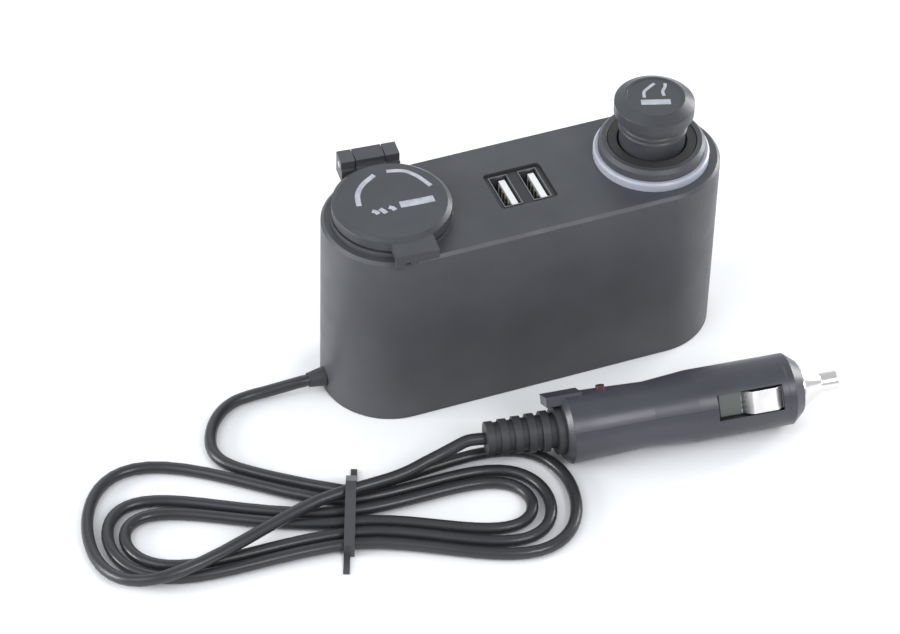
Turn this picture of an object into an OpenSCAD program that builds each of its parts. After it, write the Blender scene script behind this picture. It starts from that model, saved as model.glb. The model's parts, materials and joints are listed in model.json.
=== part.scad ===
/* [Housing] */
// Distance between the two socket axes
socket_pitch = 79.5; // [78:0.5:96]
// Radius of the housing's round ends, half its depth
housing_end_r = 20; // [19.5:0.5:24]
// Height of the housing
housing_h = 60; // [56:1:80]
// Thickness of the side wall
wall_t = 2; // [1.4:0.1:2.6]
// Thickness of the deck that holds the sockets
deck_t = 2.4; // [1.8:0.1:3.2]
// Bevel along the deck's outer edge
edge_bevel = 0.9; // [0.4:0.1:1.4]
// Thickness of the bottom cover
cover_t = 2.4; // [1.8:0.1:3]

/* [Sockets] */
// Bore of the two metal barrels
bore_d = 21; // [20.9:0.1:21.4]
// Wall of the metal barrels
barrel_t = 0.5; // [0.4:0.1:0.8]
// Height of the metal barrels' foot above the surface
barrel_foot_z = 23.6; // [22:0.2:27]
// Wall of the plastic necks round the barrels
neck_t = 1.9; // [1.5:0.1:2.2]
// Length of the necks below the top of the deck
neck_l = 12; // [10:1:16]
// Height of the clamp rings under the deck
clamp_h = 4.5; // [3:0.5:6]

/* [Outlet cap] */
// Radius of the outlet's flange on the deck
flange_r = 17.3; // [17:0.1:17.8]
// Thickness of that flange
flange_h = 1.6; // [1.2:0.1:2]
// Radius of the cap
cap_r = 17; // [16.8:0.1:17.4]
// Thickness of the cap
cap_h = 4.3; // [3.6:0.1:5]
// Turn of the hinge and tab about the outlet's axis
cap_turn = -5; // [-12:1:0]
// Width of the hinge block
hinge_w = 17.2; // [15:0.2:20]
// Width of the finger tab
tab_w = 12.4; // [9:0.2:14]

/* [Lighter] */
// Radius of the pale ring round the lighter socket
ring_r = 16.7; // [16.4:0.1:17.4]
// Height of that ring
ring_h = 2.7; // [2:0.1:3.4]
// Radius of the lighter socket's raised bezel
bezel_r = 15.4; // [14.7:0.1:15.6]
// Height of the bezel above the ring
bezel_h = 3.3; // [2.6:0.1:4]
// Radius of the knob's head
head_r = 11.5; // [10.8:0.1:12]
// Height of the knob's head
head_h = 5.8; // [5:0.1:7]
// Radius of the knob's neck
knob_neck_r = 9.5; // [9.2:0.1:9.6]
// Top of the knob above the deck
knob_rise = 21.5; // [19.5:0.1:24]
// Travel of the knob when it is pressed
press_travel = 5.5; // [4:0.5:6]

/* [USB] */
// Distance between the two ports
port_pitch = 8.9; // [8.4:0.1:10]
// Length of the deck window along the housing
window_x = 17.4; // [17:0.1:20]
// Length of the deck window across the housing
window_y = 15.4; // [15:0.1:17]
// Depth of the faceplate's face below the deck
face_drop = 0.8; // [0.2:0.1:1.2]

/* [Cord and plug] */
// Diameter of the cord
cord_d = 3.5; // [3:0.1:4]
// Diameter of the plug's front body
plug_d = 20.8; // [20.4:0.1:20.9]
// Length of the plug's body with its nose ring
plug_l = 70.5; // [70:0.5:76]
// Reach of the plug's tip past the nose ring
tip_l = 12.6; // [10:0.2:14]
// Length of the ribbed strain relief
relief_l = 22; // [20:1:26]

/* [Hidden] */
$fn = 96;

// Overrun of cuts
over = 1;
// Radial clearance of fixed fits
fit = 0.05;
// Radial clearance of sliding fits
slide_fit = 0.25;
// Clearance of parts that only lie beside each other
side_gap = 0.15;
// Small segments count for screws and wires
round_small = 32;

outlet_x = -socket_pitch / 2;
lighter_x = socket_pitch / 2;
deck_z = housing_h;
under_deck_z = housing_h - deck_t;
inner_r = housing_end_r - wall_t;
bore_r = bore_d / 2;
barrel_r = bore_r + barrel_t;
neck_in_r = barrel_r + fit;
neck_r = neck_in_r + neck_t;

// Screws that hold the cover, and their bosses
boss_r = 3;
boss_inset = 4.4;
boss_x = 19.5;
screw_r = 1.2;
screw_l = 12;
screw_head_r = 2.5;
screw_head_h = 1.5;
boss_y = inner_r - boss_inset;
BOSSES = [for (sx = [-1, 1], sy = [-1, 1]) [sx * boss_x, sy * boss_y]];

// Where the cord leaves the housing's left end
exit_z = 4.6;
exit_x = outlet_x - housing_end_r;
cord_r = cord_d / 2;
grommet_neck_r = 2.6;
grommet_base_r = 2.9;
grommet_end_r = 2.1;
grommet_l = 5;
grommet_flange_r = 3.4;
grommet_flange_t = 1.2;
grommet_seat = wall_t + inner_r - sqrt(inner_r * inner_r - grommet_flange_r * grommet_flange_r);

// Circuit board, held under the deck between the barrels
board_x = 30;
board_y = 31;
board_t = 1.6;
board_drop = 12.6;
board_boss_r = 2.4;
board_boss_y = 12.6;
board_screw_r = 0.9;
board_screw_l = 6;
board_screw_head_r = 1.9;
board_screw_head_h = 1.2;
board_top_z = under_deck_z - board_drop;
board_under_z = board_top_z - board_t;

// USB ports: sheet metal shells, each with a tongue off its middle
usb_x = -0.7;
shell_x = 5.7;
shell_y = 13.1;
shell_t = 0.3;
shell_proud = 0.2;
tongue_x = 1.84;
tongue_y = 11.1;
tongue_off = 1;
tongue_drop = 1;
tongue_base_h = 3;
contact_y = 1;
contact_t = 0.25;
contact_l = 8;
contact_pitch = 2.3;
contact_drop = 0.8;
face_t = 2.6;
face_lip = 1.2;
face_lip_t = 1;
face_z = deck_z - face_drop;
PORTS = [for (side = [-1, 1]) usb_x + side * port_pitch / 2];

// A plan outline with round ends under both sockets
module stadium(r, h) {
    linear_extrude(height = h) {
        translate([outlet_x, 0]) circle(r = r);
        translate([lighter_x, 0]) circle(r = r);
        translate([outlet_x, -r]) square([socket_pitch, 2 * r]);
    }
}

// The same outline, drawn in at its top by a bevel
module bevelled_stadium(r, h, bevel) {
    stadium(r, h - bevel);
    translate([0, 0, h - bevel]) {
        for (x = [outlet_x, lighter_x]) translate([x, 0, 0]) cylinder(r1 = r, r2 = r - bevel, h = bevel);
        translate([outlet_x, 0, 0])
            rotate([90, 0, 90])
                linear_extrude(height = socket_pitch)
                    polygon([[-r, 0], [r, 0], [r - bevel, bevel], [bevel - r, bevel]]);
    }
}

// A tube or ring standing on its lower face
module ring(r_out, r_in, h) {
    difference() {
        cylinder(r = r_out, h = h);
        translate([0, 0, -over]) cylinder(r = r_in, h = h + 2 * over);
    }
}

// A box centred on its footprint
module block(x, y, h) {
    translate([-x / 2, -y / 2, 0]) cube([x, y, h]);
}

// Lathe a half outline of [radius, height] points
module lathe(points) {
    rotate_extrude() polygon(points);
}

// Sweep of a round tube along points, closed at both ends
function unit(v) = v / norm(v);
function tangent(p, i) =
    unit(p[min(i + 1, len(p) - 1)] - p[max(i - 1, 0)]);
// The tube's sideways direction is square to its way and to a direction that it never takes
function tube_ring(p, i, t, r, sides, never) =
    let (a = unit(cross(never, t)), b = cross(t, a))
        [for (k = [0:sides - 1])
            let (turn = (k + 0.5) * 360 / sides) p[i] + r * (cos(turn) * a + sin(turn) * b)];
module tube(p, r, sides, first_way = undef, last_way = undef, never = [0, 0, 1]) {
    rings = len(p);
    ways = [for (i = [0:rings - 1])
        i == 0 && first_way != undef ? first_way
        : i == rings - 1 && last_way != undef ? last_way
        : tangent(p, i)];
    corners = [for (i = [0:rings - 1]) each tube_ring(p, i, ways[i], r, sides, never)];
    walls = [for (i = [0:rings - 2], k = [0:sides - 1])
        let (n = (k + 1) % sides, a = i * sides, b = a + sides)
            each [[a + k, b + k, b + n], [a + k, b + n, a + n]]];
    first_end = [for (k = [1:sides - 2]) [0, k, k + 1]];
    last = (rings - 1) * sides;
    last_end = [for (k = [1:sides - 2]) [last, last + k + 1, last + k]];
    polyhedron(points = corners, faces = concat(walls, first_end, last_end));
}

// A smooth curve through hand-placed points, steps to a span
function curve_at(a, b, c, d, f) =
    0.5 * ((2 * b) + (c - a) * f + (2 * a - 5 * b + 4 * c - d) * f * f
        + (3 * b - a - 3 * c + d) * f * f * f);
function smooth_route(p, steps) = concat(
    [for (i = [0:len(p) - 2], s = [0:steps - 1])
        curve_at(p[max(i - 1, 0)], p[i], p[i + 1], p[min(i + 2, len(p) - 1)], s / steps)],
    [p[len(p) - 1]]);
function route_length(p) = len(p) < 2 ? 0 : sum_steps(p, 0, 0);
function sum_steps(p, i, total) =
    i >= len(p) - 1 ? total : sum_steps(p, i + 1, total + norm(p[i + 1] - p[i]));

// HOUSING

window_corner_r = 1.2;

module rounded_window(x, y, h, r) {
    linear_extrude(height = h) {
        square([x - 2 * r, y], center = true);
        square([x, y - 2 * r], center = true);
        for (sx = [-1, 1], sy = [-1, 1]) translate([sx * (x / 2 - r), sy * (y / 2 - r)]) circle(r = r);
    }
}

module housing_shell() color([0.16, 0.165, 0.18]) difference() {
    union() {
        difference() {
            bevelled_stadium(housing_end_r, housing_h, edge_bevel);
            translate([0, 0, -over]) stadium(inner_r, under_deck_z + over);
        }
        for (p = BOSSES)
            translate([p[0], p[1], cover_t]) cylinder(r = boss_r, h = housing_h - cover_t - deck_t / 2);
        for (side = [-1, 1])
            translate([usb_x, side * board_boss_y, board_top_z])
                cylinder(r = board_boss_r, h = board_drop + deck_t / 2);
    }
    for (x = [outlet_x, lighter_x])
        translate([x, 0, under_deck_z - over]) cylinder(r = neck_r + fit, h = deck_t + 2 * over);
    translate([usb_x, 0, under_deck_z - over])
        rounded_window(window_x, window_y, deck_t + 2 * over, window_corner_r);
    for (p = BOSSES)
        translate([p[0], p[1], cover_t - over])
            cylinder(r = screw_r + fit, h = screw_l + over, $fn = round_small);
    for (side = [-1, 1])
        translate([usb_x, side * board_boss_y, board_top_z - over])
            cylinder(r = board_screw_r + fit, h = board_screw_l + over, $fn = round_small);
    translate([exit_x - over, 0, exit_z])
        rotate([0, 90, 0]) cylinder(r = grommet_neck_r + fit, h = wall_t + 2 * over, $fn = round_small);
}

module bottom_cover() color([0.14, 0.145, 0.155]) difference() {
    stadium(inner_r - side_gap, cover_t);
    for (p = BOSSES) translate([p[0], p[1], 0]) {
        translate([0, 0, -over]) cylinder(r = screw_r + fit, h = cover_t + 2 * over, $fn = round_small);
        translate([0, 0, -over])
            cylinder(r = screw_head_r + side_gap, h = screw_head_h + over, $fn = round_small);
    }
    translate([exit_x, 0, exit_z])
        rotate([0, 90, 0])
            cylinder(r = grommet_flange_r + side_gap, h = grommet_seat + grommet_flange_t + side_gap);
}

// Width of the cross slot in every screw head, and its length as a share of the head
cross_w = 0.5;
cover_cross_share = 0.56;
small_cross_share = 0.5;

// A screw standing on its cross-slotted head
module screw(r, l, head_r, head_h, slot_share) {
    difference() {
        cylinder(r = head_r, h = head_h, $fn = round_small);
        for (turn = [0, 90])
            rotate([0, 0, turn])
                translate([0, 0, -over]) block(2 * head_r * slot_share, cross_w, over + head_h / 2);
    }
    translate([0, 0, head_h]) cylinder(r = r, h = l, $fn = round_small);
}

module cover_screws() color("silver")
    for (p = BOSSES)
        translate([p[0], p[1], 0])
            screw(screw_r, screw_l - side_gap, screw_head_r, screw_head_h, cover_cross_share);

module cord_grommet() color([0.12, 0.12, 0.13])
    translate([exit_x, 0, exit_z])
        rotate([0, 90, 0])
            difference() {
                union() {
                    translate([0, 0, -grommet_l])
                        cylinder(r1 = grommet_end_r, r2 = grommet_base_r, h = grommet_l);
                    cylinder(r = grommet_neck_r, h = grommet_seat + grommet_flange_t);
                    translate([0, 0, grommet_seat]) cylinder(r = grommet_flange_r, h = grommet_flange_t);
                }
                translate([0, 0, -grommet_l - over])
                    cylinder(r = cord_r + side_gap,
                        h = grommet_l + grommet_seat + grommet_flange_t + 2 * over);
            }

// SOCKETS

insulator_h = 4;
insulator_rim_t = 1.1;
insulator_rim_h = 2.5;
contact_head_r = 3.6;
contact_head_h = 1.4;
contact_shank_r = 1.5;
contact_washer_r = 3;
contact_washer_h = 0.8;
blade_w = 6.3;
blade_t = 0.8;
blade_l = 8;
ear_w = 5;
ear_t = 0.6;
ear_rise = 4;
ear_l = 7;
mouth_lip_t = 1;
mouth_chamfer = 0.6;
ear_x = barrel_r + ear_t / 2 - barrel_t / 2;

// Ears stand on the side towards the middle
function ear_side(x) = x < 0 ? 1 : -1;

// A barrel with its earth ear, hung from its upper rim
module barrel(x, top_z) {
    translate([x, 0, barrel_foot_z]) {
        ring(barrel_r, bore_r, top_z - barrel_foot_z);
        difference() {
            translate([ear_side(x) * ear_x, 0, -ear_l]) block(ear_t, ear_w, ear_l + ear_rise);
            cylinder(r = bore_r, h = top_z - barrel_foot_z);
        }
    }
}

// Closes the barrel's foot: a rim goes round it and a recess takes the contact's head
module barrel_insulator(x) {
    translate([x, 0, barrel_foot_z - insulator_h])
        difference() {
            cylinder(r = barrel_r + insulator_rim_t, h = insulator_h + insulator_rim_h);
            translate([0, 0, insulator_h]) cylinder(r = barrel_r + fit, h = insulator_rim_h + over);
            translate([0, 0, insulator_h - contact_head_h])
                cylinder(r = contact_head_r + fit, h = contact_head_h + over);
            translate([0, 0, -over])
                cylinder(r = contact_shank_r + fit, h = insulator_h + 2 * over, $fn = round_small);
            translate([ear_side(x) * barrel_r, 0, -over])
                block(2 * (ear_t + side_gap), ear_w + 2 * side_gap, insulator_h + insulator_rim_h + 2 * over);
        }
}

// Rivet through the insulator, with a washer and a blade below it
module barrel_contact(x) {
    translate([x, 0, barrel_foot_z - insulator_h]) {
        translate([0, 0, insulator_h - contact_head_h]) cylinder(r = contact_head_r, h = contact_head_h);
        translate([0, 0, -contact_washer_h])
            cylinder(r = contact_shank_r, h = insulator_h + contact_washer_h, $fn = round_small);
        translate([0, 0, -contact_washer_h])
            cylinder(r = contact_washer_r, h = contact_washer_h, $fn = round_small);
        translate([0, 0, -contact_washer_h - blade_l]) block(blade_t, blade_w, blade_l + contact_washer_h);
    }
}

module clamp_ring(x, r_out) {
    translate([x, 0, under_deck_z - clamp_h]) ring(r_out, neck_r + fit, clamp_h);
}

// OUTLET, with its cap and hinge

outlet_top_z = deck_z + flange_h - mouth_lip_t;
cap_gap = 0.3;
cap_z = deck_z + flange_h + cap_gap;
cap_bevel = 1.3;
cap_bevel_h = 0.9;
cap_foot_bevel = 0.5;
cap_foot_h = 0.4;
pin_r = 1;
pin_gap = 0.06;
lug_r = 2.6;
pin_back = 20.9;
pin_rise = 4.2;
pin_z = deck_z + pin_rise;
hinge_shift = -1.1;
lug_share = 0.24;
knuckle_gap = 0.25;
lug_front = 17.4;
lug_base_h = 1.6;
knuckle_arm_t = 2;
knuckle_arm_lift = 0.2;
tab_back = 16;
tab_front = 22.3;
tab_t = 2.3;
tab_shift = 1.3;
lip_t = 1.7;
lip_h = 2.9;
tab_leg_h = [5.3, 4];
tab_leg_from_shares = [0, 0.33];
tab_leg_w_share = 0.2;
seal_r = 9.7;
seal_h = 1.6;
seal_chamfer = 0.5;
seal_flange_r = 12;
seal_flange_h = 0.8;

// Everything on the cap's hinge line
module hinge_frame() {
    translate([outlet_x, 0, 0]) rotate([0, 0, cap_turn]) children();
}

// A bar of round section along the hinge line
module hinge_bar(r, from_x, to_x) {
    translate([from_x, pin_back, pin_z]) rotate([0, 90, 0]) cylinder(r = r, h = to_x - from_x);
}

// The same bar with its upper half squared off
module square_topped_bar(r, from_x, to_x) {
    hinge_bar(r, from_x, to_x);
    translate([from_x, pin_back - r, pin_z]) cube([to_x - from_x, 2 * r, r]);
}

lug_w = hinge_w * lug_share;
hinge_from = hinge_shift - hinge_w / 2;
hinge_to = hinge_shift + hinge_w / 2;
knuckle_from = hinge_from + lug_w + knuckle_gap;
knuckle_w = hinge_w - 2 * lug_w - 2 * knuckle_gap;

module outlet_bezel() color([0.13, 0.135, 0.145]) {
    difference() {
        union() {
            translate([outlet_x, 0, deck_z]) cylinder(r = flange_r, h = flange_h);
            translate([outlet_x, 0, deck_z - neck_l]) cylinder(r = neck_r, h = neck_l + flange_h / 2);
            hinge_frame() {
                for (side = [-1, 1]) {
                    x = side > 0 ? hinge_to - lug_w : hinge_from;
                    translate([x, lug_front, deck_z])
                        cube([lug_w, pin_back + lug_r - lug_front, pin_z - deck_z]);
                    square_topped_bar(lug_r, x, x + lug_w);
                    translate([x, flange_r / 2, deck_z])
                        cube([lug_w, lug_front + lug_r - flange_r / 2, lug_base_h]);
                }
            }
        }
        translate([outlet_x, 0, deck_z - neck_l - over])
            cylinder(r = neck_in_r, h = neck_l + over + flange_h - mouth_lip_t);
        translate([outlet_x, 0, deck_z - neck_l]) cylinder(r = bore_r + fit, h = neck_l + flange_h + over);
        translate([outlet_x, 0, deck_z + flange_h - mouth_chamfer])
            cylinder(r1 = bore_r + fit, r2 = bore_r + fit + mouth_chamfer + over, h = mouth_chamfer + over);
        hinge_frame() hinge_bar(pin_r + fit / 2, -hinge_w, hinge_w);
    }
}

module outlet_barrel() color("silver") barrel(outlet_x, outlet_top_z);
module outlet_insulator() color([0.35, 0.2, 0.14]) barrel_insulator(outlet_x);
module outlet_centre_contact() color("goldenrod") barrel_contact(outlet_x);
module outlet_clamp_ring() color([0.12, 0.12, 0.13]) clamp_ring(outlet_x, flange_r - flange_h);

module cap_hinge_pin() color("silver") hinge_frame() hinge_bar(pin_r, hinge_from, hinge_to);

// Lugs stand in the way of the disc's back edge, so it is cut clear of them
module socket_cap() color([0.15, 0.155, 0.165]) hinge_frame() difference() {
    union() {
        difference() {
            translate([0, 0, cap_z])
                lathe([
                    [0, 0], [cap_r - cap_foot_bevel, 0], [cap_r, cap_foot_h],
                    [cap_r, cap_h - cap_bevel_h], [cap_r - cap_bevel, cap_h], [0, cap_h]
                ]);
            for (side = [-1, 1]) {
                x = (side > 0 ? hinge_to - lug_w : hinge_from) - knuckle_gap;
                translate([x, lug_front - 2 * knuckle_gap, cap_z - over])
                    cube([lug_w + 2 * knuckle_gap, cap_r, cap_h + 2 * over]);
                hinge_bar(lug_r + 2 * knuckle_gap, x, x + lug_w + 2 * knuckle_gap);
            }
        }
        square_topped_bar(lug_r, knuckle_from, knuckle_from + knuckle_w);
        translate([knuckle_from, cap_r / 2, pin_z - knuckle_arm_t / 2 + knuckle_arm_lift])
            cube([knuckle_w, pin_back - cap_r / 2, knuckle_arm_t]);
        finger_tab();
    }
    hinge_bar(pin_r + pin_gap, -hinge_w, hinge_w);
    translate([0, 0, cap_z - over]) cylinder(r = seal_flange_r + fit, h = seal_flange_h + over);
}

// The finger tab is a plate with a low lip, and two legs of different length hang from it
module finger_tab() {
    top_z = cap_z + cap_h - cap_bevel_h;
    from_x = tab_shift - tab_w / 2;
    translate([from_x, -tab_front, top_z - tab_t]) cube([tab_w, tab_front - tab_back + cap_bevel, tab_t]);
    translate([from_x, -tab_front, top_z - lip_h]) cube([tab_w, lip_t, lip_h]);
    for (i = [0, 1])
        translate([from_x + tab_w * tab_leg_from_shares[i], -tab_front, top_z - tab_leg_h[i]])
            cube([tab_w * tab_leg_w_share, lip_t, tab_leg_h[i]]);
}

module cap_seal() color([0.1, 0.1, 0.1]) hinge_frame()
    translate([0, 0, cap_z - seal_h + seal_flange_h])
        lathe([
            [0, 0], [seal_r - seal_chamfer, 0], [seal_r, seal_chamfer], [seal_r, seal_h - seal_flange_h],
            [seal_flange_r, seal_h - seal_flange_h], [seal_flange_r, seal_h], [0, seal_h]
        ]);

// LIGHTER SOCKET

bezel_round = 1;
funnel_r = 13;
funnel_h = 3;
ring_top_z = deck_z + ring_h;
bezel_top_z = ring_top_z + bezel_h;
lighter_top_z = bezel_top_z - funnel_h;
ring_round = 0.5;
clamp_r = 16;

module light_ring() color([0.82, 0.83, 0.88])
    translate([lighter_x, 0, deck_z])
        lathe([
            [neck_r + fit, 0], [ring_r, 0], [ring_r, ring_h - ring_round], [ring_r - ring_round, ring_h],
            [neck_r + fit, ring_h]
        ]);

module lighter_bezel() color([0.13, 0.135, 0.145])
    translate([lighter_x, 0, 0])
        lathe([
            [neck_in_r, deck_z - neck_l], [neck_r, deck_z - neck_l], [neck_r, ring_top_z],
            [bezel_r, ring_top_z], [bezel_r, bezel_top_z - bezel_round],
            [bezel_r - bezel_round, bezel_top_z], [funnel_r, bezel_top_z], [neck_in_r, lighter_top_z]
        ]);

module lighter_barrel() color("silver") barrel(lighter_x, lighter_top_z);
module lighter_insulator() color([0.35, 0.2, 0.14]) barrel_insulator(lighter_x);
module lighter_centre_contact() color("goldenrod") barrel_contact(lighter_x);
module lighter_clamp_ring() color([0.12, 0.12, 0.13]) clamp_ring(lighter_x, clamp_r);

cup_r = 7.2;
cup_h = 6;
cup_t = 0.5;
clip_t = 0.4;
clip_w = 5;
clip_h = 6;
clip_foot_h = 0.5;
clip_count = 3;
clip_gap = 0.2;
clip_foot_r = 8.6;

// Sprung fingers that hold the hot cup until it is warm
module lighter_clips() color("goldenrod")
    translate([lighter_x, 0, barrel_foot_z]) {
        ring(clip_foot_r, contact_head_r + clip_gap, clip_foot_h);
        for (i = [0:clip_count - 1])
            rotate([0, 0, i * 360 / clip_count])
                translate([cup_r + clip_gap, -clip_w / 2, 0]) cube([clip_t, clip_w, clip_h]);
    }

// LIGHTER, with its spring-returned knob

head_top_z = deck_z + knob_rise;
head_z = head_top_z - head_h;
head_bevel = 2.9;
head_bevel_h = 1.9;
head_foot = 0.5;
dish_rim = 0.7;
dish_depth = 0.15;
ridge_t = 0.35;
ridge_h = 0.7;
ridge_count = 3;
ridge_pitch = 1.7;
sleeve_t = 0.35;
sleeve_flange_h = 0.8;
sleeve_r = bore_r - slide_fit;
sleeve_in_r = sleeve_r - sleeve_t;
cup_z = barrel_foot_z + clip_foot_h + press_travel + clip_gap;
sleeve_foot_z = cup_z + cup_h + side_gap;
sleeve_floor_t = 0.8;
collar_h = 2;
stem_r = 2.2;
stem_hole_gap = 0.6;
knob_drop = 6.5;
knob_foot_z = lighter_top_z - knob_drop;
spring_r = 5.6;
spring_wire_r = 0.45;
spring_turns = 7;
spring_steps = 12;
coil_wire_r = 0.45;
coil_turns = 4;
coil_steps = 16;
coil_in_r = 1.6;
coil_pitch = 1.15;

// The middle of a spring's wire, round an upright axis
function spring_path(at, r, low, high, turns) = [for (i = [0:turns * spring_steps])
    let (turn = i * 360 / spring_steps, f = i / (turns * spring_steps))
        [at[0] + r * cos(turn), at[1] + r * sin(turn), low + (high - low) * f]];

module lighter_knob() color([0.14, 0.145, 0.155])
    translate([lighter_x, 0, 0])
        lathe(concat(
            [[0, knob_foot_z], [knob_neck_r - head_foot, knob_foot_z],
                [knob_neck_r, knob_foot_z + head_foot]],
            [for (i = [0:ridge_count - 1], corner = [0:3])
                [knob_neck_r + (corner == 0 || corner == 3 ? 0 : ridge_t),
                    head_z - (ridge_count - i) * ridge_pitch + (corner < 2 ? 0 : ridge_h)
                    + (corner == 0 ? -ridge_t : corner == 3 ? ridge_t : 0)]],
            [[knob_neck_r, head_z], [head_r - head_foot, head_z], [head_r, head_z + head_foot],
                [head_r, head_top_z - head_bevel_h], [head_r - head_bevel, head_top_z],
                [head_r - head_bevel - dish_rim, head_top_z],
                [head_r - head_bevel - dish_rim, head_top_z - dish_depth], [0, head_top_z - dish_depth]]
        ));

module lighter_stem() color("silver")
    translate([lighter_x, 0, cup_z + cup_h])
        cylinder(r = stem_r, h = knob_foot_z - cup_z - cup_h, $fn = round_small);

// Metal tube that stays in the socket while the knob is pressed
module lighter_sleeve() color("silver")
    translate([lighter_x, 0, 0])
        lathe([
            [stem_r + stem_hole_gap, sleeve_foot_z], [sleeve_r, sleeve_foot_z], [sleeve_r, lighter_top_z],
            [barrel_r, lighter_top_z], [barrel_r, lighter_top_z + sleeve_flange_h],
            [sleeve_in_r, lighter_top_z + sleeve_flange_h], [sleeve_in_r, sleeve_foot_z + sleeve_floor_t],
            [stem_r + stem_hole_gap, sleeve_foot_z + sleeve_floor_t]
        ]);

// Collar on the sleeve's flange: it fills the funnel and leaves the neck room to slide
module lighter_collar() color([0.2, 0.09, 0.07]) {
    foot_z = lighter_top_z + sleeve_flange_h;
    slope = (funnel_r - neck_in_r) / funnel_h;
    inside = knob_neck_r + ridge_t + slide_fit;
    translate([lighter_x, 0, foot_z])
        lathe([
            [inside, 0], [neck_in_r + slope * sleeve_flange_h - side_gap, 0],
            [neck_in_r + slope * (sleeve_flange_h + collar_h) - side_gap, collar_h], [inside, collar_h]
        ]);
}

spring_low_z = sleeve_foot_z + sleeve_floor_t + spring_wire_r;
spring_high_z = knob_foot_z - spring_wire_r;
module lighter_spring() color("silver")
    tube(spring_path([lighter_x, 0], spring_r, spring_low_z, spring_high_z, spring_turns), spring_wire_r, 6);

module lighter_coil_cup() color("silver")
    translate([lighter_x, 0, cup_z])
        difference() {
            cylinder(r = cup_r, h = cup_h);
            translate([0, 0, -over]) cylinder(r = cup_r - cup_t, h = cup_h / 2 + over);
        }

COIL = [for (i = [0:coil_turns * coil_steps])
    let (turn = i * 360 / coil_steps, r = coil_in_r + coil_pitch * i / coil_steps)
        [lighter_x + r * cos(turn), r * sin(turn), cup_z + cup_h / 2 - coil_wire_r]];

module lighter_coil() color([0.3, 0.25, 0.22]) tube(COIL, coil_wire_r, 6);

// USB PORTS

module usb_faceplate() color([0.06, 0.06, 0.065]) translate([usb_x, 0, 0]) difference() {
    union() {
        translate([0, 0, face_z - face_t])
            rounded_window(window_x - 2 * fit, window_y - 2 * fit, face_t, window_corner_r);
        translate([0, 0, under_deck_z - face_lip_t])
            block(window_x + 2 * face_lip, window_y + 2 * face_lip, face_lip_t);
    }
    for (side = [-1, 1])
        translate([side * port_pitch / 2, 0, under_deck_z - face_lip_t - over])
            block(shell_x + 2 * fit, shell_y + 2 * fit, face_t + face_lip_t + deck_t + over);
}

shell_top_z = face_z + shell_proud;
shell_l = shell_top_z - board_top_z;

module usb_shells() color("silver")
    for (x = PORTS)
        translate([x, 0, board_top_z])
            difference() {
                block(shell_x, shell_y, shell_l);
                translate([0, 0, -over])
                    block(shell_x - 2 * shell_t, shell_y - 2 * shell_t, shell_l + 2 * over);
            }

tongue_top_z = shell_top_z - tongue_drop;
contact_off = tongue_off - (tongue_x + contact_t) / 2;

module usb_tongues() color("white")
    for (x = PORTS)
        translate([x, 0, board_top_z]) {
            block(shell_x - 2 * shell_t - 2 * fit, shell_y - 2 * shell_t - 2 * fit, tongue_base_h);
            translate([tongue_off, 0, 0]) block(tongue_x, tongue_y, tongue_top_z - board_top_z);
        }

module usb_contacts() color("goldenrod")
    for (x = PORTS, lane = [-1.5:1:1.5])
        translate([x + contact_off, lane * contact_pitch, tongue_top_z - contact_drop - contact_l])
            block(contact_t, contact_y, contact_l);

// CIRCUIT BOARD

inductor_r = 4.6;
inductor_h = 5;
inductor_at_share = [-0.18, 0.27];
cap_can_r = 3.1;
cap_can_h = 8;
cap_can_shares = [[0.2, 0.3], [0.2, 0.02]];
chip_x = 5;
chip_y = 4;
chip_h = 1.5;
chip_shares = [[-0.28, -0.3], [0.1, -0.26]];

module circuit_board() color([0.1, 0.35, 0.2]) difference() {
    translate([usb_x, 0, board_under_z]) block(board_x, board_y, board_t);
    for (side = [-1, 1])
        translate([usb_x, side * board_boss_y, board_under_z - over])
            cylinder(r = board_screw_r + side_gap, h = board_t + 2 * over, $fn = round_small);
}

module board_screws() color("silver")
    for (side = [-1, 1])
        translate([usb_x, side * board_boss_y, board_under_z - board_screw_head_h])
            screw(board_screw_r, board_screw_l + board_t - side_gap, board_screw_head_r, board_screw_head_h,
                small_cross_share);

// Places parts on the board's underside by shares of its length and width
module on_board(share) {
    translate([usb_x + share[0] * board_x, share[1] * board_y, board_under_z]) mirror([0, 0, 1]) children();
}

module board_inductor() color([0.25, 0.25, 0.27])
    on_board(inductor_at_share) cylinder(r = inductor_r, h = inductor_h);
module board_capacitors() color([0.2, 0.22, 0.3])
    for (share = cap_can_shares) on_board(share) cylinder(r = cap_can_r, h = cap_can_h);
module board_chips() color([0.08, 0.08, 0.09])
    for (share = chip_shares) on_board(share) block(chip_x, chip_y, chip_h);

// WIRES inside the housing, from the cord's tail and the board to the terminals

wire_r = 0.7;
wire_sides = 6;
wire_steps = 3;
wire_spread = 1.2;
tail_spread_share = 0.7;
wire_low_z = 7;
wire_clear = 1.5;
tail_l = 9;
tail_end_x = exit_x + grommet_seat + grommet_flange_t + tail_l;

// A terminal's lower end, under each barrel's blade and ear
function blade_foot(x) = [x, 0, barrel_foot_z - insulator_h - contact_washer_h - blade_l - wire_r];
function ear_foot(x) = [x + ear_side(x) * ear_x, 0, barrel_foot_z - ear_l - wire_r];

module cord_tail() color([0.11, 0.11, 0.12])
    translate([exit_x, 0, exit_z])
        rotate([0, 90, 0]) cylinder(r = cord_r, h = tail_end_x - exit_x, $fn = round_small);

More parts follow.
